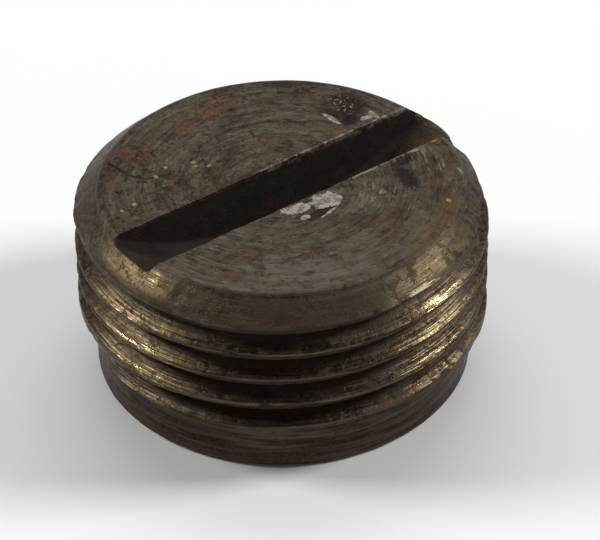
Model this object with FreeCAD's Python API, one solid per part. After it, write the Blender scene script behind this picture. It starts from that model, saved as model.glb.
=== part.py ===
import FreeCAD, Part
import math
import os

# Headless slotted screw plug, turned from bar.  All lengths in millimetres.
# Origin at the centre of the underside, +Z up to the slotted face, slot along X.
# Azimuths are degrees from +X, counter-clockwise seen from above.

# ---- overall turned shape ----
MAJOR_R = 10.0            # M20 x 1.5 external thread, nominal major radius
TOTAL_H = 10.1            # underside to slotted face
TOP_FLAT_R = 8.65         # flat slotted face inside the lead chamfer
CHAMFER_H = 1.3           # axial height of the lead chamfer
PILOT_R = 9.1             # plain pilot below the thread, just under root size
PILOT_H = 3.1             # height of the plain pilot
EDGE_BREAK = 0.2          # small bevel round the underside

# ---- thread, ISO 60 degree form, right hand ----
PITCH = 1.5
THREAD_DEPTH = 0.85       # major radius to flat root
CREST_FLAT = PITCH / 8.0
FLANK_SLOPE = math.tan(math.radians(30.0))
GROOVE_Z_AT_X = 1.32      # groove centre height on +X, before the first turn
TOOL_OVERLAP = 0.12       # radial clearance of the groove tool outside the crest

ROOT_R = MAJOR_R - THREAD_DEPTH
OUTER_R = MAJOR_R + TOOL_OVERLAP
HALF_CREST_GAP = (PITCH - CREST_FLAT) / 2.0
HALF_ROOT = HALF_CREST_GAP - THREAD_DEPTH * FLANK_SLOPE

# ---- ends of the thread ----
RUN_OUT_START = 1782.4    # azimuth, counted up the helix, where the tool backs off
RUN_OUT_ARC = 27.0        # degrees it takes to leave the metal, at the chamfer
RUN_OUT_LIFT = 0.9        # radial withdrawal over that arc
BLUNT_START = 537.5       # azimuth where the first full crest begins
BLUNT_ARC = 115.0         # degrees of feather-edge crest removed before it
END_OVERCUT = 0.03        # both end tools cut this much below the root

# ---- driver slot, plunged with a disc cutter ----
SLOT_W = 3.0
SLOT_SHIFT_Y = -0.2       # slot centre plane sits slightly off the axis
SLOT_DEPTH = 3.42         # deepest point below the slotted face
SLOT_CUTTER_R = 17.35
SLOT_CUTTER_X = 0.92      # cutter centre, off axis towards the open end


def turned_blank():
    """Lathe profile revolved about Z: pilot, thread blank, lead chamfer."""
    outline = [
        (0.0, 0.0),
        (PILOT_R - EDGE_BREAK, 0.0),
        (PILOT_R, EDGE_BREAK),
        (PILOT_R, PILOT_H),
        (MAJOR_R, PILOT_H),
        (MAJOR_R, TOTAL_H - CHAMFER_H),
        (TOP_FLAT_R, TOTAL_H),
        (0.0, TOTAL_H),
        (0.0, 0.0),
    ]
    points = [FreeCAD.Vector(0, r, z) for r, z in outline]
    face = Part.Face(Part.makePolygon(points))
    return face.revolve(FreeCAD.Vector(0, 0, 0), FreeCAD.Vector(0, 0, 1), 360)


def groove_height(azimuth):
    """Height of the groove centre at an azimuth counted up the helix."""
    return GROOVE_Z_AT_X + PITCH * azimuth / 360.0


def section_wire(corners, azimuth):
    """Closed section in the radial plane; corners are (radius, z offset)."""
    centre_z = groove_height(azimuth)
    ca = math.cos(math.radians(azimuth))
    sa = math.sin(math.radians(azimuth))
    points = [FreeCAD.Vector(r * ca, r * sa, centre_z + dz) for r, dz in corners]
    return Part.makePolygon(points + points[:1])


def vee_corners(root_r):
    """Truncated 60 degree vee, open outwards, with its flat root at root_r."""
    half_outer = HALF_ROOT + (OUTER_R - root_r) * FLANK_SLOPE
    return [
        (root_r, -HALF_ROOT),
        (OUTER_R, -half_outer),
        (OUTER_R, half_outer),
        (root_r, HALF_ROOT),
    ]


def helical_tool(corners, start, end):
    """Sweep a section up the thread helix between two azimuths."""
    rise = PITCH * (end - start) / 360.0
    helix = Part.makeLongHelix(PITCH, rise, ROOT_R, 0)
    helix.translate(FreeCAD.Vector(0, 0, groove_height(start)))
    upright = [FreeCAD.Vector(r, 0, groove_height(start) + dz) for r, dz in corners]
    profile = Part.makePolygon(upright + upright[:1])
    tool = Part.Wire(helix).makePipeShell([profile], True, True)
    tool.rotate(FreeCAD.Vector(0, 0, 0), FreeCAD.Vector(0, 0, 1), start % 360.0)
    return tool


def run_out_tool():
    """Groove section lifted clear of the metal over a short arc."""
    steps = 9
    wires = []
    for i in range(-1, steps + 1):
        share = max(i, 0) / steps
        lift = RUN_OUT_LIFT * share ** 1.5 - END_OVERCUT
        azimuth = RUN_OUT_START + RUN_OUT_ARC * i / steps
        wires.append(section_wire(vee_corners(ROOT_R + lift), azimuth))
    return Part.makeLoft(wires, True, False)


def blunt_start_tool():
    """Clears the feather-edge crest between the first groove and the pilot."""
    inner_r = ROOT_R - END_OVERCUT
    corners = [
        (inner_r, -1.0),
        (OUTER_R, -1.0),
        (OUTER_R, 0.0),
        (inner_r, 0.0),
    ]
    return helical_tool(corners, BLUNT_START - BLUNT_ARC, BLUNT_START)


def driver_slot():
    """Disc cutter of slot width, its axis across the slot."""
    axis_z = TOTAL_H - SLOT_DEPTH + SLOT_CUTTER_R
    start = FreeCAD.Vector(SLOT_CUTTER_X, SLOT_SHIFT_Y - SLOT_W / 2.0, axis_z)
    return Part.makeCylinder(SLOT_CUTTER_R, SLOT_W, start, FreeCAD.Vector(0, 1, 0))


def slotted_plug():
    plug = turned_blank()
    plug = plug.cut(helical_tool(vee_corners(ROOT_R), 0.0, RUN_OUT_START))
    plug = plug.cut(run_out_tool())
    plug = plug.cut(blunt_start_tool())
    return plug.cut(driver_slot())


def single_solid(shape):
    """Return the one solid the shape should hold."""
    solids = shape.Solids
    if len(solids) != 1:
        raise ValueError("expected one solid, found %d" % len(solids))
    return solids[0]


os.makedirs("parts", exist_ok=True)
plug = single_solid(slotted_plug())
plug.exportStep("parts/slotted_plug.step")
print("slotted_plug valid", plug.isValid(), "volume mm3", round(plug.Volume, 2))
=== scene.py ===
import math

import bmesh
import bpy
import numpy as np
from mathutils import Matrix, Vector


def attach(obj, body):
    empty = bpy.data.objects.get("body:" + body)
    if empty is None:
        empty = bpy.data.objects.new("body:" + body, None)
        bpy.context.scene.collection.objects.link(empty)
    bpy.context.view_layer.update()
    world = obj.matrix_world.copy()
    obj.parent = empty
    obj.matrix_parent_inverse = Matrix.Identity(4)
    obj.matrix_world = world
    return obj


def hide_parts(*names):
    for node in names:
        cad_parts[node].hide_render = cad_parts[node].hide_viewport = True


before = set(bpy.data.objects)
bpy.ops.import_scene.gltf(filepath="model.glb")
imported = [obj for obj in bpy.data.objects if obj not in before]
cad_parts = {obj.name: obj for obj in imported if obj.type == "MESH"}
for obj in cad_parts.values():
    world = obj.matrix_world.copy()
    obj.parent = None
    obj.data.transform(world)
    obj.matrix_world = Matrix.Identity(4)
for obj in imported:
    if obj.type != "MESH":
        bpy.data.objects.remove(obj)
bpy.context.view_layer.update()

# ------------------------------------------------------------------ sizes, mm
# The mesh is built in millimetres in the part's frame and scaled to metres.
MM = 0.001
MAJOR_R = 10.0
TOTAL_H = 10.1
TOP_FLAT_R = 8.65
CHAMFER_Z = 8.8
PILOT_R = 9.1
PILOT_H = 3.1
EDGE_BREAK = 0.2

PITCH = 1.5
ROOT_R = 9.15
SLOPE = math.tan(math.radians(30.0))
HALF_CREST_GAP = PITCH * 7.0 / 16.0
HALF_ROOT = HALF_CREST_GAP - (MAJOR_R - ROOT_R) * SLOPE
GROOVE_Z_AT_X = 1.32
RUN_OUT_START = 1772.0          # about ten degrees before the CAD's, so no notch shows
RUN_OUT_ARC = 27.0
RUN_OUT_LIFT = 0.9
BLUNT_START = 177.5
BLUNT_ARC = 115.0
BLUNT_R = 9.12

SLOT_NEAR = -1.7
SLOT_FAR = 1.3
SLOT_CUTTER_R = 17.35
SLOT_CUTTER_X = 0.92
SLOT_DEPTH = 3.42
SLOT_AXIS_Z = TOTAL_H - SLOT_DEPTH + SLOT_CUTTER_R
SLOT_FILLET = 0.38

# wear: nicks on the crests, dents on the chamfer and the face
CREST_NICKS = 170
CHAMFER_DENTS = 60
FACE_DENTS = 150
PILOT_SWELL = 0.09              # how far the pilot stands outside the CAD's

# the rim beside the slot's open end: knocked in, with a burr on its other side
KNOCK_AZ, KNOCK_Z, KNOCK_RADIUS, KNOCK_DEPTH = -9.0, 8.8, 1.4, 0.17
BURR_PLACE = Vector((9.35, 0.9, 9.25))
BURR_RADIUS = 1.5
BURR_PUSH = Vector((0.12, -0.02, -0.03))

COLUMNS = 512                   # mesh vertices round the plug
SHARP_ANGLE = math.radians(38.0)


# ------------------------------------------------------------------ noise
def hashed(ix, iy, iz, seed):
    """A repeatable value from 0 to 1 for each lattice corner."""
    h = (ix.astype(np.int64) * 73856093) ^ (iy.astype(np.int64) * 19349663)
    h = h ^ (iz.astype(np.int64) * 83492791) ^ (seed * 2654435761)
    h = (h & 0xFFFFFFFF).astype(np.uint64)
    h = ((h ^ (h >> np.uint64(15))) * np.uint64(2246822519)) & np.uint64(0xFFFFFFFF)
    h = ((h ^ (h >> np.uint64(13))) * np.uint64(3266489917)) & np.uint64(0xFFFFFFFF)
    h = h ^ (h >> np.uint64(16))
    return h.astype(np.float64) / 4294967295.0


def value_noise(p, scale, seed):
    """Smooth noise from -1 to 1 at points p, with features about 1/scale mm."""
    q = p * scale
    base = np.floor(q)
    f = q - base
    f = f * f * (3.0 - 2.0 * f)
    total = np.zeros(len(p))
    for dx in (0, 1):
        wx = f[:, 0] if dx else 1.0 - f[:, 0]
        for dy in (0, 1):
            wy = f[:, 1] if dy else 1.0 - f[:, 1]
            for dz in (0, 1):
                wz = f[:, 2] if dz else 1.0 - f[:, 2]
                corner = hashed(base[:, 0] + dx, base[:, 1] + dy, base[:, 2] + dz, seed)
                total += wx * wy * wz * corner
    return total * 2.0 - 1.0


def fractal(p, scale, seed, octaves=3):
    total = np.zeros(len(p))
    weight = 1.0
    for i in range(octaves):
        total += weight * value_noise(p, scale * 2.0 ** i, seed + i)
        weight *= 0.5
    return total / (2.0 - 2.0 * weight)


def smooth(low, high, x):
    """0 at low, 1 at high, smooth between; low may be the larger."""
    t = np.clip((x - low) / (high - low), 0.0, 1.0)
    return t * t * (3.0 - 2.0 * t)


def soft_min(a, b, k):
    h = np.maximum(k - np.abs(a - b), 0.0) / k
    return np.minimum(a, b) - h * h * k * 0.25


# ------------------------------------------------------------------ thread
def groove_height(azimuth):
    return GROOVE_Z_AT_X + PITCH * azimuth / 360.0


def thread_radius(azimuth, z, crest=MAJOR_R):
    """Radius of the threaded surface; azimuth in degrees, 0 to 360."""
    below = z - groove_height(azimuth)
    d = below - PITCH * np.floor(below / PITCH + 0.5)
    along = (z - d - GROOVE_Z_AT_X) / PITCH * 360.0
    lift = np.clip((along - RUN_OUT_START) / RUN_OUT_ARC, 0.0, 1.6) ** 1.5 * RUN_OUT_LIFT
    steep = np.where(d < 0.0, 1.0 + 0.5 * smooth(1150.0, 650.0, along),
                     1.0 + 0.5 * smooth(585.0, 530.0, along))
    reach = np.abs(d) + np.where(d > 0.0, 0.05 * smooth(585.0, 530.0, along), 0.0)
    flank = ROOT_R + lift + steep * np.maximum(reach - HALF_ROOT, 0.0) / SLOPE
    r = soft_min(flank, crest, 0.14)
    blunt = (azimuth > BLUNT_START - BLUNT_ARC) & (azimuth < BLUNT_START)
    blunt &= z < groove_height(azimuth) + PITCH
    return np.where(blunt, BLUNT_R, r)


# ------------------------------------------------------------------ body mesh
class Builder:
    """Collects vertices in rings and joins them into faces."""

    def __init__(self):
        self.points = []
        self.faces = []
        self.count = 0

    def ring(self, r, azimuth, z):
        a = np.radians(azimuth)
        r = np.broadcast_to(r, a.shape)
        z = np.broadcast_to(z, a.shape)
        self.points.append(np.stack([r * np.cos(a), r * np.sin(a), z], axis=1))
        start = self.count
        self.count += len(a)
        return np.arange(start, self.count)

    def join(self, low, high):
        """Quads between two rings of the same length, low then high outwards."""
        low_next, high_next = np.roll(low, -1), np.roll(high, -1)
        quads = np.stack([low, low_next, high_next, high], axis=1)
        self.faces.extend(quads.tolist())

    def join_half(self, outer, inner):
        """Outer ring of 2n points to an inner ring of n points."""
        n = len(inner)
        for i in range(n):
            a, b, c = outer[2 * i], outer[2 * i + 1], outer[(2 * i + 2) % (2 * n)]
            d, e = inner[i], inner[(i + 1) % n]
            self.faces.append([int(a), int(b), int(d)])
            self.faces.append([int(b), int(e), int(d)])
            self.faces.append([int(b), int(c), int(e)])


def azimuths(n):
    return np.arange(n) * 360.0 / n


def disc(builder, edge, edge_r, z, step, upwards):
    """Fills a flat disc from its edge ring inwards, thinning as it goes."""
    ring, n, r = edge, COLUMNS, edge_r
    halve_at = edge_r * 0.5
    while True:
        r -= step
        if r < step:
            break
        if r < halve_at and n > 16:
            n //= 2
            halve_at *= 0.5
            inner = builder.ring(r, azimuths(n), z)
            if upwards:
                builder.join_half(ring, inner)
            else:
                first = len(builder.faces)
                builder.join_half(ring, inner)
                for i in range(first, len(builder.faces)):
                    builder.faces[i].reverse()
        else:
            inner = builder.ring(r, azimuths(n), z)
            if upwards:
                builder.join(ring, inner)
            else:
                builder.join(inner, ring)
        ring = inner
    centre = builder.ring(0.0, np.zeros(1), z)[0]
    for i in range(len(ring)):
        tri = [int(ring[i]), int(ring[(i + 1) % len(ring)]), int(centre)]
        if not upwards:
            tri.reverse()
        builder.faces.append(tri)


def blank_body():
    """Turned and threaded body, without the slot, as points and faces."""
    b = Builder()
    az = azimuths(COLUMNS)

    # thread zone: rows climb with the helix, so crest and root edges stay crisp
    offsets = []
    # heights over one pitch, closer together at the edges of crest and root
    across = [-0.75, -0.69, -0.645, -0.57, -0.45, -0.31, -0.175, 0.0,
              0.175, 0.31, 0.45, 0.57, 0.645, 0.69]
    for turn in range(6):
        offsets += [PITCH * turn + d for d in across]
    rows = []
    for offset in offsets:
        z = groove_height(az) + offset
        z = np.where(z < PILOT_H + 0.03, PILOT_H, z)
        z = np.where(z > CHAMFER_Z - 0.03, CHAMFER_Z, z)
        rows.append(b.ring(thread_radius(az, z), az, z))
    per_turn = len(across)
    for q in range(len(rows) - 1):
        low, high = rows[q], rows[q + 1]
        q_low = min(q + per_turn, len(rows) - 1)
        q_high = min(q + 1 + per_turn, len(rows) - 1)
        low_next = np.append(low[1:], rows[q_low][0])
        high_next = np.append(high[1:], rows[q_high][0])
        b.faces.extend(np.stack([low, low_next, high_next, high], axis=1).tolist())

    # lead chamfer, horizontal rows, rounded over into the slotted face
    slope_r, slope_z = TOP_FLAT_R - MAJOR_R, TOTAL_H - CHAMFER_Z
    length = math.hypot(slope_r, slope_z)
    turn = math.atan2(slope_z, -slope_r)
    edge_r = 0.55
    back = edge_r * math.tan(turn / 2.0)
    profile = []
    n_slope = 13
    for i in range(1, n_slope + 1):
        t = (length - back) * i / n_slope / length
        profile.append((MAJOR_R + slope_r * t, CHAMFER_Z + slope_z * t))
    centre_r = TOP_FLAT_R - back
    for i in range(1, 6):
        a = turn * (1.0 - i / 5.0)
        profile.append((centre_r + edge_r * math.sin(a), TOTAL_H - edge_r * (1.0 - math.cos(a))))
    ring = b.ring(thread_radius(az, np.full(COLUMNS, CHAMFER_Z)), az, CHAMFER_Z)
    for r, z in profile:
        r_here = np.minimum(r, thread_radius(az, np.full(COLUMNS, z), crest=MAJOR_R + 1.0))
        inner = b.ring(r_here, az, z)
        b.join(ring, inner)
        ring = inner
    disc(b, ring, profile[-1][0], TOTAL_H, 0.14, True)

    # step down to the pilot, pilot wall, bevel and underside
    step_r = thread_radius(az, np.full(COLUMNS, PILOT_H))
    ring = b.ring(step_r, az, PILOT_H)
    for share in (0.33, 0.66, 1.0):
        lower = b.ring(step_r + (PILOT_R - step_r) * share, az, PILOT_H)
        b.join(lower, ring)
        ring = lower
    wall = [PILOT_H - 0.05, PILOT_H - 0.12]
    wall += list(np.linspace(PILOT_H - 0.3, EDGE_BREAK + 0.12, 12))
    bevel = [(PILOT_R, EDGE_BREAK + 0.04), (PILOT_R - 0.03, EDGE_BREAK - 0.03),
             (PILOT_R - 0.10, 0.10), (PILOT_R - 0.17, 0.03), (PILOT_R - 0.24, 0.0)]
    for r, z in [(PILOT_R, z) for z in wall] + bevel:
        lower = b.ring(r, az, z)
        b.join(lower, ring)
        ring = lower
    disc(b, ring, PILOT_R - 0.24, 0.0, 0.3, False)
    return np.concatenate(b.points), b.faces


# ------------------------------------------------------------------ wear
def dented(distance, radius, depth):
    """Depth of a rounded dent at a distance from its middle."""
    inside = np.clip(1.0 - (distance / radius) ** 2, 0.0, 1.0)
    return depth * inside * inside


def worn(points):
    """Moves the turned surface by its tool marks, knocks and rubbed crests."""
    random = np.random.default_rng(20)
    x, y, z = points.T
    r = np.hypot(x, y)
    az = np.degrees(np.arctan2(y, x)) % 360.0
    inward = np.zeros(len(points))

    # thread and chamfer: rubbed crests, then nicks strung along them
    threaded = (z > PILOT_H) & (z <= CHAMFER_Z)
    crest = np.where(threaded, smooth(9.70, 9.98, r), 0.0)
    rub = np.maximum(fractal(points, 0.9, 3), 0.0) * 0.04
    rub += np.maximum(fractal(points, 3.1, 9), 0.0) * 0.04 - 0.02
    inward += crest * rub
    band = (z > PILOT_H - 0.2) & (r > 8.9)
    for _ in range(CREST_NICKS):
        spot_az = random.random() * 360.0
        turn = random.integers(0, 5)
        spot_z = groove_height(spot_az) + PITCH * (turn - 0.5) + random.normal() * 0.10
        radius = 0.12 + 0.22 * random.random() ** 2
        depth = 0.03 + 0.09 * random.random() ** 2
        long = 1.0 + 2.0 * random.random()
        da = (az - spot_az + 180.0) % 360.0 - 180.0
        d = np.hypot(np.radians(da) * MAJOR_R / long, z - spot_z)
        inward += np.where(band, dented(d, radius, depth), 0.0)

    # chamfer: shallow dents and one pit
    chamfer = (z > CHAMFER_Z - 0.1) & (z < TOTAL_H - 0.05)
    for _ in range(CHAMFER_DENTS):
        spot_az = random.random() * 360.0
        spot_z = CHAMFER_Z + 1.2 * random.random()
        radius = 0.12 + 0.4 * random.random() ** 2
        depth = 0.015 + 0.04 * random.random()
        da = (az - spot_az + 180.0) % 360.0 - 180.0
        d = np.hypot(np.radians(da) * 9.4, (z - spot_z) * 1.4)
        inward += np.where(chamfer, dented(d, radius, depth), 0.0)
    for spot_az, spot_z, radius, depth in ((-100.0, 8.9, 0.24, 0.16), (-109.0, 8.25, 0.2, 0.08)):
        da = (az - spot_az + 180.0) % 360.0 - 180.0
        d = np.hypot(np.radians(da) * 9.9, z - spot_z)
        inward += dented(d, radius, depth)

    # the rim is knocked in beside the slot's open end
    da = (az - KNOCK_AZ + 180.0) % 360.0 - 180.0
    d = np.hypot(np.radians(da) * MAJOR_R, z - KNOCK_Z)
    inward += dented(d, KNOCK_RADIUS, KNOCK_DEPTH)

    # pilot: turned rings and a few knocks
    pilot = (z < PILOT_H - 0.1) & (r > PILOT_R - 0.3)
    rings = 0.008 * np.sin(z * 17.0) + 0.006 * np.sin(z * 31.0 + 1.0)
    inward += np.where(pilot, rings - PILOT_SWELL + 0.02 * fractal(points, 1.2, 21), 0.0)

    # the chamfer's lower corner is rubbed away on two sides
    rubbed = np.zeros(len(points))
    for middle, half in ((-178.0, 34.0), (-76.0, 20.0)):
        da = np.abs((az - middle + 180.0) % 360.0 - 180.0)
        limit = MAJOR_R - 0.36 * (z - 8.05)
        corner = np.where(z > 8.05, r - limit, 0.0) * smooth(half, half * 0.6, da)
        rubbed = np.maximum(rubbed, corner)

    inset = np.where(rubbed > 0.0, np.maximum(inward, rubbed), inward)
    shrink = np.where(r > 1.0, 1.0 - inset / np.maximum(r, 1.0), 1.0)
    side = z < TOTAL_H - 0.2
    shrink = np.where(side, shrink, 1.0)
    moved = points.copy()
    moved[:, 0] *= shrink
    moved[:, 1] *= shrink
    slope = smooth(CHAMFER_Z, CHAMFER_Z + 0.3, z) * (z < TOTAL_H - 0.01)
    moved[:, 2] -= np.where(side, inward * slope * 0.7, 0.0)

    # face: lathe rings, pits and a worn hollow round each old knock
    face = z > TOTAL_H - 0.3
    inner = smooth(0.0, 0.6, r)
    wave = 0.008 * np.sin(r * 12.5 + 0.5 * np.sin(r * 2.1)) + 0.005 * np.sin(r * 7.3 + 1.0)
    sink = 0.02 + wave * inner + 0.02 * fractal(points, 0.45, 31) + 0.012 * fractal(points, 2.4, 41)
    for _ in range(FACE_DENTS):
        spot_r, spot_a = 8.6 * math.sqrt(random.random()), random.random() * math.tau
        radius = 0.16 + 0.3 * random.random() ** 2
        depth = 0.01 + 0.03 * random.random()
        d = np.hypot(x - spot_r * math.cos(spot_a), y - spot_r * math.sin(spot_a))
        sink += dented(d, radius, depth)
    moved[:, 2] -= np.where(face, np.maximum(sink, 0.0) * smooth(9.5, 8.3, r), 0.0)
    return moved


# ------------------------------------------------------------------ slot cutter
def surface_z(r):
    """Height of the face and chamfer at a radius."""
    fall = (r - TOP_FLAT_R) / (MAJOR_R - TOP_FLAT_R) * (TOTAL_H - CHAMFER_Z)
    return TOTAL_H - np.clip(fall, 0.0, TOTAL_H - CHAMFER_Z)


def slot_floor(x):
    return SLOT_AXIS_Z - np.sqrt(SLOT_CUTTER_R ** 2 - (x - SLOT_CUTTER_X) ** 2)


def slot_cutter():
    """Closed tool: arc floor, straight walls, lips opened by a small round."""
    stations = np.linspace(-9.9, 10.9, 150)
    wall_steps, floor_steps, fillet_steps, fillet = 12, 14, 5, SLOT_FILLET
    sections = []
    for x in stations:
        floor = float(slot_floor(x))
        half = []
        for y_wall, side in ((SLOT_NEAR, -1.0), (SLOT_FAR, 1.0)):
            lip = 0.07 + 0.03 * math.sin(x * 1.7 + side) + 0.02 * math.sin(x * 5.3)
            top = float(surface_z(math.hypot(x, y_wall)))
            wall_top = max(top - lip, floor + fillet + 0.02)
            pts = [(y_wall + side * (lip + 0.8), wall_top + lip + 0.8)]
            for i in range(4):
                a = math.radians(90.0 * i / 3.0)
                pts.append((y_wall + side * lip * (1.0 - math.sin(a)),
                            wall_top + lip * math.cos(a)))
            for i in range(1, wall_steps + 1):
                z = wall_top + (floor + fillet - wall_top) * i / wall_steps
                pts.append((y_wall, z))
            for i in range(1, fillet_steps + 1):
                a = math.radians(90.0 * i / fillet_steps)
                pts.append((y_wall - side * fillet * (1.0 - math.cos(a)),
                            floor + fillet - fillet * math.sin(a)))
            half.append(pts)
        y0 = SLOT_NEAR + fillet
        y1 = SLOT_FAR - fillet
        flat = [(y0 + (y1 - y0) * i / floor_steps, floor) for i in range(1, floor_steps)]
        sections.append([(x, y, z) for y, z in half[0] + flat + half[1][::-1]])
    count = len(sections[0])
    points = np.array([p for s in sections for p in s])
    index = np.arange(len(points)).reshape(len(stations), count)
    faces = []
    for i in range(len(stations) - 1):
        for j in range(count):
            k = (j + 1) % count
            faces.append([int(index[i, j]), int(index[i + 1, j]),
                          int(index[i + 1, k]), int(index[i, k])])
    faces.append([int(v) for v in index[0]])
    faces.append([int(v) for v in index[-1][::-1]])
    return points, faces


def new_object(name, points, faces):
    mesh = bpy.data.meshes.new(name)
    mesh.from_pydata([tuple(p) for p in points], [], faces)
    mesh.validate()
    bm = bmesh.new()
    bm.from_mesh(mesh)
    bmesh.ops.remove_doubles(bm, verts=bm.verts, dist=1e-5)
    bmesh.ops.dissolve_degenerate(bm, edges=bm.edges, dist=1e-6)
    bmesh.ops.recalc_face_normals(bm, faces=bm.faces)
    bm.to_mesh(mesh)
    bm.free()
    obj = bpy.data.objects.new(name, mesh)
    bpy.context.scene.collection.objects.link(obj)
    return obj


body_points, body_faces = blank_body()
plug = new_object("slotted_plug_body", worn(body_points), body_faces)
cutter_points, cutter_faces = slot_cutter()
cutter = new_object("slot_cutter", cutter_points, cutter_faces)

cut = plug.modifiers.new("slot", "BOOLEAN")
cut.operation = "DIFFERENCE"
cut.solver = "EXACT"
cut.object = cutter
bpy.context.view_layer.update()
graph = bpy.context.evaluated_depsgraph_get()
carved = bpy.data.meshes.new_from_object(plug.evaluated_get(graph))
plug.modifiers.clear()
old = plug.data
plug.data = carved
bpy.data.meshes.remove(old)
bpy.data.objects.remove(cutter)


# ------------------------------------------------------------------ surface data
def mark_surface(mesh):
    """Stores how deep in a groove, how far in the slot and how near its lip."""
    count = len(mesh.vertices)
    flat = np.empty(count * 3)
    mesh.vertices.foreach_get("co", flat)
    p = flat.reshape(-1, 3)
    x, y, z = p.T
    r = np.hypot(x, y)
    cone = MAJOR_R + (z - CHAMFER_Z) * (TOP_FLAT_R - MAJOR_R) / (TOTAL_H - CHAMFER_Z)
    outer = np.where(z > CHAMFER_Z, cone, MAJOR_R)
    groove = np.clip((outer - r) / (MAJOR_R - ROOT_R), 0.0, 1.0)
    groove *= (z > PILOT_H + 0.01) & (z < TOTAL_H - 0.3)

    top = surface_z(r)
    in_x = (y > SLOT_NEAR - 0.02) & (y < SLOT_FAR + 0.02)
    below = top - z
    slot = smooth(0.03, 0.16, below) * in_x * (z > slot_floor(x) - 0.05) * (r < 9.98)
    slot *= (x > -9.3)
    groove = np.where(slot > 0.0, 0.0, groove)
    near_wall = np.minimum(np.abs(y - SLOT_NEAR), np.abs(y - SLOT_FAR))
    lip = smooth(0.13, 0.05, near_wall) * smooth(0.35, 0.12, below)
    lip *= (x > -9.0) & (r < 9.9) & (z > 8.8)
    bed = slot * smooth(0.30, 0.10, z - slot_floor(x))
    for name, values in (("groove", groove), ("slot", slot), ("lip", lip), ("bed", bed)):
        layer = mesh.attributes.new(name, "FLOAT", "POINT")
        layer.data.foreach_set("value", values.astype(np.float32))


def raise_burr(mesh):
    """Metal pushed outwards where the slot breaks out through the rim."""
    for vertex in mesh.vertices:
        away = vertex.co - BURR_PLACE
        share = max(0.0, 1.0 - (away.length / BURR_RADIUS) ** 2) ** 2
        if share > 0.0:
            vertex.co += BURR_PUSH * share


raise_burr(plug.data)
mark_surface(plug.data)
plug.data.transform(Matrix.Scale(MM, 4))

for poly in plug.data.polygons:
    poly.use_smooth = True
plug.data.set_sharp_from_angle(angle=SHARP_ANGLE)


# ------------------------------------------------------------------ shader maths
class Field:
    """A value that varies over the surface, with ordinary arithmetic."""

    def __init__(self, tree, socket):
        self.tree, self.socket = tree, socket

    def math(self, operation, *others):
        node = self.tree.nodes.new("ShaderNodeMath")
        node.operation = operation
        for value, slot in zip((self,) + others, node.inputs):
            feed(self.tree, value, slot)
        return Field(self.tree, node.outputs[0])

    def __add__(self, other):
        return self.math("ADD", other)

    def __sub__(self, other):
        return self.math("SUBTRACT", other)

    def __mul__(self, other):
        return self.math("MULTIPLY", other)

    def __truediv__(self, other):
        return self.math("DIVIDE", other)

    __radd__ = __add__
    __rmul__ = __mul__

    def __rsub__(self, other):
        return (self * -1.0) + other

    def power(self, exponent):
        return self.math("POWER", exponent)

    def above(self, low, high):
        """0 below low, 1 above high, smooth between; reversed if low > high."""
        node = self.tree.nodes.new("ShaderNodeMapRange")
        node.interpolation_type = "SMOOTHSTEP"
        if low < high:
            limits = (low, high, 0.0, 1.0)
        else:
            limits = (high, low, 1.0, 0.0)
        feed(self.tree, self, node.inputs["Value"])
        for slot, value in zip(("From Min", "From Max", "To Min", "To Max"), limits):
            node.inputs[slot].default_value = value
        return Field(self.tree, node.outputs["Result"])


def feed(tree, value, socket):
    if isinstance(value, Field):
        tree.links.new(value.socket, socket)
    else:
        socket.default_value = value


def combine(tree, x, y, z):
    node = tree.nodes.new("ShaderNodeCombineXYZ")
    for value, slot in zip((x, y, z), node.inputs):
        feed(tree, value, slot)
    return node.outputs[0]


def noise(tree, vector, scale, detail=3.0, rough=0.55, seed=0.0):
    shift = tree.nodes.new("ShaderNodeVectorMath")
    shift.operation = "ADD"
    tree.links.new(vector, shift.inputs[0])
    shift.inputs[1].default_value = (seed * 13.7, seed * 7.9, seed * 3.1)
    node = tree.nodes.new("ShaderNodeTexNoise")
    tree.links.new(shift.outputs[0], node.inputs["Vector"])
    node.inputs["Scale"].default_value = scale
    node.inputs["Detail"].default_value = detail
    node.inputs["Roughness"].default_value = rough
    return Field(tree, node.outputs[0])


def linear(r, g, b):
    """Screen colour, 0 to 255, as scene-linear."""
    def one(v):
        v /= 255.0
        return v / 12.92 if v <= 0.04045 else ((v + 0.055) / 1.055) ** 2.4
    return (one(r), one(g), one(b), 1.0)


def blend(tree, factor, low, high):
    """Mix of two colours or sockets."""
    node = tree.nodes.new("ShaderNodeMix")
    node.data_type = "RGBA"
    node.clamp_factor = True
    feed(tree, factor, node.inputs["Factor"])
    for value, slot in ((low, node.inputs["A"]), (high, node.inputs["B"])):
        if isinstance(value, bpy.types.NodeSocket):
            tree.links.new(value, slot)
        else:
            slot.default_value = value
    return node.outputs["Result"]


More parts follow.
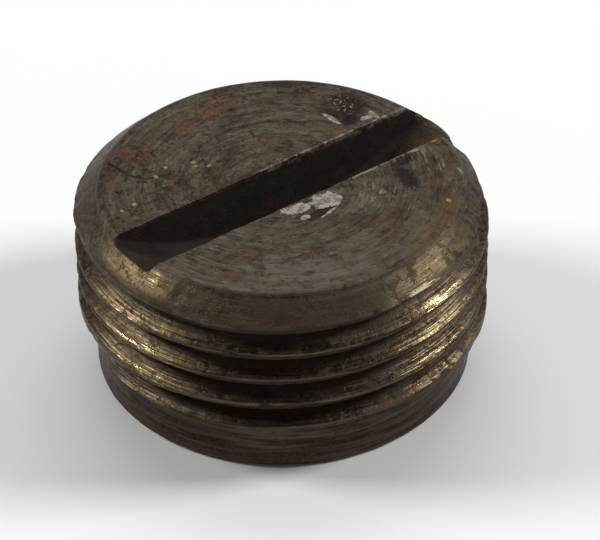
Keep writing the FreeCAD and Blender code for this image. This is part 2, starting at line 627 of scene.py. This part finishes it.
def plug_material():
    mat = bpy.data.materials.new("plug_steel_visual")
    mat.use_nodes = True
    tree = mat.node_tree
    nodes, links = tree.nodes, tree.links
    shader = nodes["Principled BSDF"]

    # place on the part, in millimetres
    coords = nodes.new("ShaderNodeTexCoord")
    to_mm = nodes.new("ShaderNodeVectorMath")
    to_mm.operation = "SCALE"
    to_mm.inputs["Scale"].default_value = 1.0 / MM
    links.new(coords.outputs["Object"], to_mm.inputs[0])
    place = to_mm.outputs[0]
    split = nodes.new("ShaderNodeSeparateXYZ")
    links.new(place, split.inputs[0])
    x, y, z = (Field(tree, split.outputs[i]) for i in range(3))
    r = (x * x + y * y).power(0.5)
    safe = r.math("MAXIMUM", 0.05)
    ca, sa = x / safe, y / safe
    run = r - z

    def attribute(name):
        node = nodes.new("ShaderNodeAttribute")
        node.attribute_name = name
        return Field(tree, node.outputs["Fac"])

    groove, slot, lip, bed = (attribute(n) for n in ("groove", "slot", "lip", "bed"))

    def turned(around, across, seed, detail=3.0, rough=0.6):
        """Noise drawn out along the lathe's turning direction."""
        vector = combine(tree, ca * around, sa * around, run * across)
        return noise(tree, vector, 1.0, detail, rough, seed)

    def spot(cx, cy, half_x, half_y, angle=0.0):
        """1 at a place on the slotted face, 0 at the edge of an ellipse."""
        c, s = math.cos(math.radians(angle)), math.sin(math.radians(angle))
        dx, dy = x - cx, y - cy
        u = (dx * (c / half_x) + dy * (s / half_x))
        v = (dy * (c / half_y) - dx * (s / half_y))
        return 1.0 - (u * u + v * v).power(0.5)

    def spots(places):
        """The strongest of several spots."""
        total = spot(*places[0])
        for item in places[1:]:
            total = total.math("MAXIMUM", spot(*item))
        return total

    def patch(azimuth, height, half_arc, half_height, radius=9.8):
        """1 at a place on the side, 0 at the edge of an ellipse."""
        a = math.radians(azimuth)
        cosine = ca * math.cos(a) + sa * math.sin(a)
        u2 = (1.0 - cosine) * (2.0 * (radius / half_arc) ** 2)
        v = (z - height) * (1.0 / half_height)
        return 1.0 - (u2 + v * v).power(0.5)

    face = z.above(TOTAL_H - 0.35, TOTAL_H - 0.1) * (1.0 - slot)
    chamfer = z.above(8.6, 8.9) * (1.0 - face) * (1.0 - slot)
    pilot = z.above(PILOT_H + 0.05, PILOT_H - 0.05)

    # noises
    streak = turned(7.0, 8.0, 1.0, 4.0, 0.65)
    hair = turned(22.0, 30.0, 2.0, 2.0, 0.6)
    bands = turned(1.2, 3.2, 3.0, 2.0)
    cloud = noise(tree, place, 0.42, 4.0, 0.6, 4.0)
    mottle = noise(tree, place, 1.7, 4.0, 0.62, 5.0)
    grain = noise(tree, place, 7.0, 3.0, 0.6, 6.0)
    speck = noise(tree, place, 4.2, 2.0, 0.5, 7.0)
    rust_noise = noise(tree, place, 1.15, 5.0, 0.62, 8.0)

    # bare steel, dark with oil, with brighter tool marks whose palest streaks are painted glints
    lines = turned(3.2, 7.0, 12.0, 3.0, 0.62)
    # left_side and right_side sit where the two side lamps glint; sides joins them, and below it
    # lightens colour there as painted highlight and thins the painted groove shade there
    left_side = patch(-173.0, 6.4, 4.6, 4.6)
    right_side = patch(-79.0, 6.6, 3.2, 5.0)
    sides = left_side.math("MAXIMUM", right_side).above(0.0, 0.45)
    tone = (streak * 0.75 + hair * 0.35 + mottle * 1.1 + grain * 0.3 + bands * 0.6) * (1.0 / 3.1)
    steel = blend(tree, tone.above(0.38, 0.62), linear(48, 41, 33), linear(98, 90, 77))
    front_grey = spot(-3.2, -6.4, 5.5, 2.0, -28.0).above(0.0, 0.6) * mottle.above(0.38, 0.56)
    steel = blend(tree, front_grey * face * 0.65, steel, linear(97, 90, 80))
    # painted highlight: pale glints along the brightest turning streaks
    steel = blend(tree, hair.above(0.58, 0.72) * streak.above(0.46, 0.62) * 0.65,
                  steel, linear(146, 134, 117))
    steel = blend(tree, cloud.above(0.50, 0.66) * 0.5, steel, linear(58, 41, 31))
    ring_marks = turned(2.4, 5.0, 13.0, 3.0, 0.6)
    pilot_tone = blend(tree, ring_marks.above(0.40, 0.62), linear(40, 32, 27), linear(86, 72, 60))
    steel = blend(tree, pilot * 0.8, steel, pilot_tone)

    # olive to brass tint where it is rubbed: chamfer and crests; on the two lamp-lit sides it is
    # painted lighter, most on the right, as painted highlight
    rubbed = (1.0 - groove).above(0.62, 0.95) * (1.0 - face) * (1.0 - pilot) * (1.0 - slot)
    tint = rubbed * (mottle * 0.6 + speck * 0.6).above(0.30, 0.75)
    on_right = right_side.above(0.0, 0.3)
    # painted highlight: the tint is lighter on the lamp-lit sides, lightest on the right
    lit_side_tint = blend(tree, chamfer, blend(tree, on_right, linear(98, 86, 62), linear(86, 75, 56)),
                      blend(tree, on_right, linear(120, 104, 72), linear(98, 86, 62)))
    steel = blend(tree, tint * 0.85, steel, blend(tree, sides, linear(84, 73, 57), lit_side_tint))
    edge_gold = spots([(3.0, -7.5, 2.6, 0.9, 22.0), (5.2, -6.3, 1.6, 0.8, 40.0)])
    edge_gold = (edge_gold + (mottle - 0.5) * 1.6).above(0.1, 0.7) * face
    steel = blend(tree, edge_gold * 0.45, steel, linear(100, 80, 52))
    threaded = (1.0 - face) * (1.0 - pilot) * (1.0 - slot)
    # painted highlight: upper flanks made lighter only on the lamp-lit sides
    flank = groove.above(0.06, 0.22) * (1.0 - chamfer) * sides
    steel = blend(tree, flank * (mottle * 0.5 + streak * 0.5).above(0.36, 0.58) * 0.5,
                  steel, linear(122, 106, 78))
    umber = (speck * 0.5 + bands * 0.5).above(0.47, 0.56) * right_side.above(0.0, 0.4)
    umber = umber.math("MAXIMUM", mottle.above(0.50, 0.60) * left_side.above(0.0, 0.4) * 0.7)
    scored = threaded * (1.0 - chamfer * 0.55)
    steel = blend(tree, scored * lines.above(0.51, 0.59) * 0.8, steel, linear(48, 38, 28))
    steel = blend(tree, scored * umber * (1.0 - chamfer * 0.6) * 0.85, steel, linear(46, 33, 27))
    fine = turned(2.0, 13.0, 15.0, 2.0, 0.5)
    # painted highlight: pale dashes along the crests on the lamp-lit sides
    steel = blend(tree, scored * sides * fine.above(0.54, 0.64) * 0.6, steel, linear(150, 132, 96))

    # darker skin round the right and the far left of the side
    dull = patch(-36.0, 8.0, 6.4, 7.0).math("MAXIMUM", patch(158.0, 8.0, 5.0, 7.0) * 0.6)
    dull = dull.above(0.0, 0.5) * (1.0 - face) * (1.0 - slot)
    dull_tone = blend(tree, (speck * 0.6 + grain * 0.4).above(0.44, 0.56),
                      linear(42, 34, 27), linear(74, 62, 48))
    steel = blend(tree, dull * 0.75, steel, dull_tone)

    # polished brass-coloured metal, right front and left front, with painted glints where the side
    # lamps reflect
    polish_and_glint = patch(-80.0, 8.05, 2.0, 0.45) * 1.2
    polish_and_glint = polish_and_glint.math("MAXIMUM", patch(-79.0, 4.8, 2.6, 3.0) * 0.55)
    polish_and_glint = polish_and_glint.math("MAXIMUM", patch(-168.0, 5.6, 2.8, 3.4) * 0.6)
    polish_and_glint = polish_and_glint.math("MAXIMUM", patch(-165.5, 9.75, 0.9, 0.35) * 0.9)
    shine = turned(12.0, 10.0, 9.0, 3.0, 0.6)
    polish_and_glint = polish_and_glint + (shine - 0.5) * 3.4 + (fine - 0.5) * 1.4 - (lines - 0.5) * 1.4
    polish_and_glint = polish_and_glint.above(0.60, 0.95)
    polish_and_glint = polish_and_glint * (1.0 - groove).above(0.35, 0.80) * threaded * (1.0 - chamfer * 0.45)
    glint_gold = blend(tree, speck.above(0.42, 0.60), linear(150, 128, 84), linear(226, 206, 160))
    # painted highlight: a near-white streak on the right front corner of the chamfer, where the
    # right lamp reflects
    corner = patch(-83.5, 8.98, 1.6, 0.34) * 1.5 + (shine - 0.5) * 2.8
    corner = corner.above(0.45, 0.85) * threaded
    steel = blend(tree, polish_and_glint * 0.85, steel, glint_gold)
    steel = blend(tree, corner * 0.9, steel, linear(238, 222, 184))

    # darker blotches on the far half of the face
    blotch = speck.above(0.50, 0.62) * (cloud * 0.5 + mottle * 0.5).above(0.44, 0.56)
    blotch = blotch * face * (y * 0.9 - x * 0.25).above(0.5, 3.5)
    steel = blend(tree, blotch * 0.8, steel, linear(38, 30, 24))

    # rust
    rust = (rust_noise * 0.62 + grain * 0.2 + speck * 0.2).above(0.535, 0.60) * 0.6
    arcs = (turned(1.6, 2.2, 14.0, 4.0, 0.65) + (mottle - 0.5) * 0.35).above(0.56, 0.66) * face
    rust = rust.math("MAXIMUM", arcs * 0.55)
    rusty = spots([(0.8, 7.0, 3.0, 1.0, 0.0), (-0.9, 6.7, 1.4, 0.8, 20.0),
                   (-4.6, 6.4, 1.2, 1.6, 30.0), (1.6, 3.2, 0.8, 0.4, 0.0),
                   (4.6, 1.9, 1.1, 0.6, 15.0), (5.7, 3.8, 1.5, 1.0, 0.0)])
    rust_area = (rusty + (mottle - 0.5) * 2.2 + (grain - 0.5) * 1.2).above(0.35, 0.75) * face
    rust = rust.math("MAXIMUM", rust_area * 0.9)
    front_red = patch(-118.0, 9.45, 5.0, 1.3).above(0.0, 0.6) * chamfer
    base_red = patch(-140.0, 0.2, 9.0, 1.2).above(0.0, 0.6) * mottle.above(0.40, 0.56)
    rust = rust.math("MAXIMUM", front_red * mottle.above(0.25, 0.50))
    rust = rust.math("MAXIMUM", base_red * 0.8)
    rust_colour = blend(tree, grain.above(0.35, 0.66), linear(54, 33, 24), linear(94, 62, 44))
    rust_colour = blend(tree, chamfer * 0.75, rust_colour, linear(50, 34, 27))
    orange = spots([(0.4, 6.8, 0.8, 0.4, 0.0), (1.3, 7.4, 1.2, 0.4, 0.0)]).above(0.1, 0.7)
    rust_colour = blend(tree, orange * mottle.above(0.4, 0.6), rust_colour, linear(136, 76, 34))
    skin = blend(tree, rust * 0.8, steel, rust_colour)

    # dark line where the chamfer meets the face, at the front
    rim_line = (r - 8.72).math("ABSOLUTE").above(0.22, 0.04) * z.above(9.4, 9.8)
    rim_line = rim_line * patch(-118.0, 9.9, 7.5, 2.0, 8.7).above(0.0, 0.4)
    rim_line = rim_line * (bands * 0.6 + mottle * 0.4).above(0.38, 0.56) * (1.0 - slot)
    skin = blend(tree, rim_line * 0.7, skin, linear(44, 28, 20))

    # old oil and dirt in the grooves and the pits, with painted shade in the grooves that is
    # thinned on the two lamp-lit sides; the slot is made dark all over
    pits = speck.above(0.62, 0.70) * (0.7 - face * 0.35)
    pits = pits.math("MAXIMUM", (mottle * 0.5 + grain * 0.5).above(0.61, 0.69) * (0.8 - face * 0.3))
    # painted shade and dirt in the grooves, less on the lamp-lit sides
    grime_and_shade = (groove - sides * 0.26).above(0.28, 0.74) * (1.0 - z.above(8.0, 8.5) * 0.35)
    grime_and_shade = grime_and_shade.math("MAXIMUM", pits * (1.0 - lip))
    grime_and_shade = grime_and_shade.math("MAXIMUM", slot * 0.96)
    dirt_and_shade_tone = blend(tree, slot, linear(66, 57, 46), linear(35, 30, 23))
    skin = blend(tree, grime_and_shade * 0.94, skin, dirt_and_shade_tone)

    # painted shade in the thread roots on the left, a painted contact shadow in the hollow where
    # its last turn starts, and a thin pale line below it
    deep = groove.above(0.70, 0.95) * left_side.above(0.0, 0.5) * 0.8
    # painted contact shadow under the start of the last turn
    hollow = patch(-183.5, 3.75, 0.6, 0.45, BLUNT_R)
    hollow = hollow.math("MAXIMUM", patch(-201.0, 3.6, 2.2, 0.4, 9.3) * 0.8)
    deep = deep.math("MAXIMUM", hollow.above(0.0, 0.5))
    deep = deep.math("MAXIMUM", patch(-66.0, 9.0, 0.6, 0.5).above(0.1, 0.6) * 0.7)
    skin = blend(tree, deep * 0.85, skin, linear(19, 15, 12))
    sliver = patch(-190.5, 2.45, 0.6, 0.06, 9.15).above(0.0, 0.7)
    skin = blend(tree, sliver * 0.8, skin, linear(158, 150, 138))

    # slot bed: rust brown at the closed end; at the open end orange-brown rust painted lighter
    # beyond a diagonal painted shadow edge
    closed = bed * x.above(-5.4, -6.8) * 0.9
    skin = blend(tree, closed, skin, blend(tree, mottle.above(0.4, 0.6),
                                           linear(22, 14, 8), linear(35, 21, 12)))
    # painted light and shadow: lit rust beyond a diagonal line, dark before it
    opened = bed * (x - y * 0.93 + (mottle - 0.5) * 1.6).above(6.2, 8.0) * y.above(1.25, 0.8)
    lit_rusty_bed = blend(tree, (mottle * 0.5 + streak * 0.5).above(0.42, 0.60),
                      linear(62, 52, 38), linear(88, 59, 41))
    skin = blend(tree, opened, skin, lit_rusty_bed)

    # brown, rubbed shoulder where the slot leaves through the rim
    shoulder = spots([(8.5, -2.0, 1.2, 0.75, -15.0), (9.4, -1.2, 0.6, 1.4)])
    shoulder = (shoulder + (mottle - 0.5) * 1.4).above(0.1, 0.6) * z.above(8.2, 8.6)
    skin = blend(tree, shoulder * 0.75, skin, blend(tree, grain.above(0.42, 0.60),
                                                    linear(40, 29, 22), linear(92, 74, 54)))

    # broken pale skin by the slot, with dark cracks
    crack = noise(tree, place, 2.6, 3.0, 0.6, 11.0)
    plates = spots([(-0.72, -2.15, 0.95, 0.48, -8.0), (0.68, -2.38, 0.8, 0.65, -5.0),
                    (1.1, -2.5, 0.7, 0.68, -30.0), (-0.72, -2.95, 0.35, 0.2, 0.0)])
    far_plates = spots([(5.12, 2.75, 0.2, 0.72, 8.0), (6.45, 1.78, 0.45, 0.2, -8.0),
                        (6.95, 1.75, 0.2, 0.45, 10.0)])
    crumbs = spot(6.35, 3.3, 0.8, 1.2, 10.0).above(0.0, 0.4) * grain.above(0.57, 0.62)
    hook = spots([(0.5, -3.28, 0.85, 0.10, 14.0)])
    pale_area = plates.math("MAXIMUM", far_plates * 0.9).math("MAXIMUM", hook * 0.9)
    flake = (pale_area + (crack - 0.5) * 0.9 + (grain - 0.5) * 0.5).above(0.10, 0.26)
    flake = flake.math("MAXIMUM", crumbs * 0.7) * face
    shadow = spots([(0.1, -3.1, 1.5, 0.4, 5.0), (0.1, -2.3, 0.35, 0.6, 20.0),
                    (6.2, 3.2, 1.6, 1.4, 0.0)])
    shadow = (shadow + (mottle - 0.5) * 1.0).above(0.05, 0.45) * face
    skin = blend(tree, shadow * 0.8, skin, linear(38, 26, 20))
    pale = blend(tree, (grain * 0.4 + crack * 0.6).above(0.42, 0.58),
                 linear(108, 98, 90), linear(158, 149, 140))
    skin = blend(tree, flake * 0.95, skin, pale)

    # blue-black stains by the slot's open end
    stain = spots([(5.75, 2.1, 0.75, 0.6), (5.75, -2.15, 1.1, 0.5), (5.0, -3.3, 0.6, 1.5, -8.0)])
    stain = (stain + (mottle - 0.5) * 1.0 + (grain - 0.5) * 1.4).above(0.0, 0.6)
    stain = stain * face * (1.0 - flake)
    skin = blend(tree, stain * 0.85, skin, linear(29, 24, 27))

    # dark crack across the far left of the face
    split_line = spots([(-5.62, 5.8, 0.13, 0.9, 8.0), (-5.3, 4.6, 0.12, 0.6, 35.0),
                        (-4.3, 3.9, 0.9, 0.12, -18.0)])
    split_line = (split_line + (grain - 0.5) * 1.2).above(0.0, 0.5) * face
    skin = blend(tree, split_line * 0.75, skin, linear(34, 27, 21))

    # short light strokes along the turning marks, right of the slot's open end, painted as glints
    strokes = spots([(6.9, -3.4, 1.5, 2.4, 12.0), (6.2, -1.9, 1.2, 0.5, 0.0),
                     (3.2, -3.4, 1.2, 1.2)])
    # painted highlight: glints drawn as light strokes along the turning marks
    strokes = strokes.above(0.0, 0.6) * turned(7.0, 6.0, 16.0, 3.0, 0.6).above(0.55, 0.64) * face
    skin = blend(tree, strokes * 0.6, skin, linear(134, 126, 114))

    # bright specks on the face, painted as glints, and the burnished lip of the slot
    # painted highlight: glint specks, mostly on the far left of the face
    dots = spots([(-2.4, 3.9, 0.16, 0.12), (-2.5, 3.55, 0.14, 0.10), (-1.95, 3.2, 0.16, 0.08),
                  (-3.7, 4.35, 0.13, 0.13), (-4.5, 4.0, 0.12, 0.2), (-6.6, 2.8, 0.16, 0.16),
                  (-7.35, 2.7, 0.10, 0.14), (5.5, -6.0, 0.14, 0.2), (7.5, -4.4, 0.12, 0.3)])
    dots = dots.above(0.0, 0.5) * face
    worn_lip = (x.above(2.6, 3.6) * y.above(0.0, -1.0) + x.above(-1.5, 1.0) * y.above(0.0, 1.0))
    bright = lip * worn_lip * (mottle * 0.5 + speck * 0.5).above(0.42, 0.58)
    bright = bright.math("MAXIMUM", dots)
    rubbed_lip = spots([(6.7, -1.84, 0.30, 0.13, -4.0), (3.6, -1.80, 1.1, 0.10)])
    bright = bright.math("MAXIMUM", (rubbed_lip + (grain - 0.5) * 0.8).above(0.1, 0.4)
                         * face.math("MAXIMUM", lip))
    skin = blend(tree, bright * 0.7, skin, linear(150, 138, 120))

    links.new(skin, shader.inputs["Base Color"])
    matte = rust.math("MAXIMUM", flake * 0.7).math("MAXIMUM", bed)
    metal = 1.0 - matte * 0.85
    metal = metal * (1.0 - grime_and_shade * 0.6) * (1.0 - slot * 0.5)
    feed(tree, metal, shader.inputs["Metallic"])
    rough = 0.44 + (mottle - 0.5) * 0.5 + matte * 0.3 + face * 0.04 + slot * 0.25
    rough = rough - rubbed * 0.05 - polish_and_glint * 0.14 + chamfer * (1.0 - corner) * 0.10
    rough = rough.math("MINIMUM", 0.9).math("MAXIMUM", 0.20)
    feed(tree, rough, shader.inputs["Roughness"])
    shader.inputs["Specular IOR Level"].default_value = 0.25

    height = streak * 0.016 + hair * 0.006 + grain * 0.010 + mottle * 0.02
    height = height - pits * 0.02 + rust * 0.01 + flake * 0.03
    bump = nodes.new("ShaderNodeBump")
    bump.inputs["Strength"].default_value = 1.0
    bump.inputs["Distance"].default_value = MM
    feed(tree, height, bump.inputs["Height"])
    links.new(bump.outputs[0], shader.inputs["Normal"])
    return mat


plug.data.materials.clear()
plug.data.materials.append(plug_material())

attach(plug, "root")
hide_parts("slotted_plug")

# ------------------------------------------------------------------ camera
VIEW_AZIMUTH = -35.6
ELEVATION = 36.33
DISTANCE = 0.16015
LENS_MM = 200.5
ROLL = -1.02
AIM_RIGHT = 0.329
AIM_DOWN = 1.509


def place_camera():
    a, e = math.radians(VIEW_AZIMUTH), math.radians(ELEVATION)
    away = Vector((math.sin(a) * math.cos(e), -math.cos(a) * math.cos(e), math.sin(e)))
    target = Vector((0.0, 0.0, TOTAL_H * MM))
    forward = -away
    right = forward.cross(Vector((0, 0, 1))).normalized()
    down = forward.cross(right).normalized()
    roll = math.radians(ROLL)
    right, down = (right * math.cos(roll) - down * math.sin(roll),
                   right * math.sin(roll) + down * math.cos(roll))
    aim = (forward + right * math.tan(math.radians(AIM_RIGHT))
           + down * math.tan(math.radians(AIM_DOWN))).normalized()
    right = (right - aim * right.dot(aim)).normalized()
    up = right.cross(aim)
    data = bpy.data.cameras.new("camera")
    data.lens = LENS_MM
    data.sensor_width = 36.0
    data.clip_start = 0.01
    data.clip_end = 20.0
    cam = bpy.data.objects.new("camera", data)
    bpy.context.scene.collection.objects.link(cam)
    turn = Matrix((right, up, -aim)).transposed().to_4x4()
    cam.matrix_world = Matrix.Translation(target + away * DISTANCE) @ turn
    bpy.context.scene.camera = cam


place_camera()


# ------------------------------------------------------------------ stage
FLOOR_HALF = 1.5                # metres
WORLD_STRENGTH = 0.14


def add_floor():
    bm = bmesh.new()
    bmesh.ops.create_grid(bm, x_segments=8, y_segments=8, size=FLOOR_HALF)
    mesh = bpy.data.meshes.new("floor")
    bm.to_mesh(mesh)
    bm.free()
    floor = bpy.data.objects.new("floor", mesh)
    bpy.context.scene.collection.objects.link(floor)
    mat = bpy.data.materials.new("floor_paper")
    mat.use_nodes = True
    shader = mat.node_tree.nodes["Principled BSDF"]
    shader.inputs["Base Color"].default_value = (0.8, 0.8, 0.8, 1)
    shader.inputs["Roughness"].default_value = 0.9
    mesh.materials.append(mat)


add_floor()


def add_light(name, azimuth, elevation, distance, size, power):
    """Area light aimed at the plug; azimuth 0 is the right of the picture."""
    a, e = math.radians(azimuth + VIEW_AZIMUTH), math.radians(elevation)
    place = Vector((math.cos(a) * math.cos(e), math.sin(a) * math.cos(e), math.sin(e))) * distance
    data = bpy.data.lights.new(name, "AREA")
    data.shape = "RECTANGLE"
    data.size, data.size_y = size
    data.energy = power
    lamp = bpy.data.objects.new(name, data)
    bpy.context.scene.collection.objects.link(lamp)
    lamp.location = place
    lamp.rotation_euler = (-place).to_track_quat("-Z", "Y").to_euler()


add_light("left_box", 170.0, 36.0, 0.6, (0.17, 0.17), 2.2)
add_light("right_box", 7.0, 36.0, 0.6, (0.16, 0.16), 2.7)
add_light("back_box", 90.0, 58.0, 0.42, (0.35, 0.22), 0.68)

world = bpy.data.worlds.new("studio")
bpy.context.scene.world = world
world.use_nodes = True
sky = world.node_tree.nodes["Background"]
sky.inputs["Color"].default_value = (1, 1, 1, 1)
sky.inputs["Strength"].default_value = WORLD_STRENGTH
bpy.context.scene.view_settings.view_transform = "Standard"
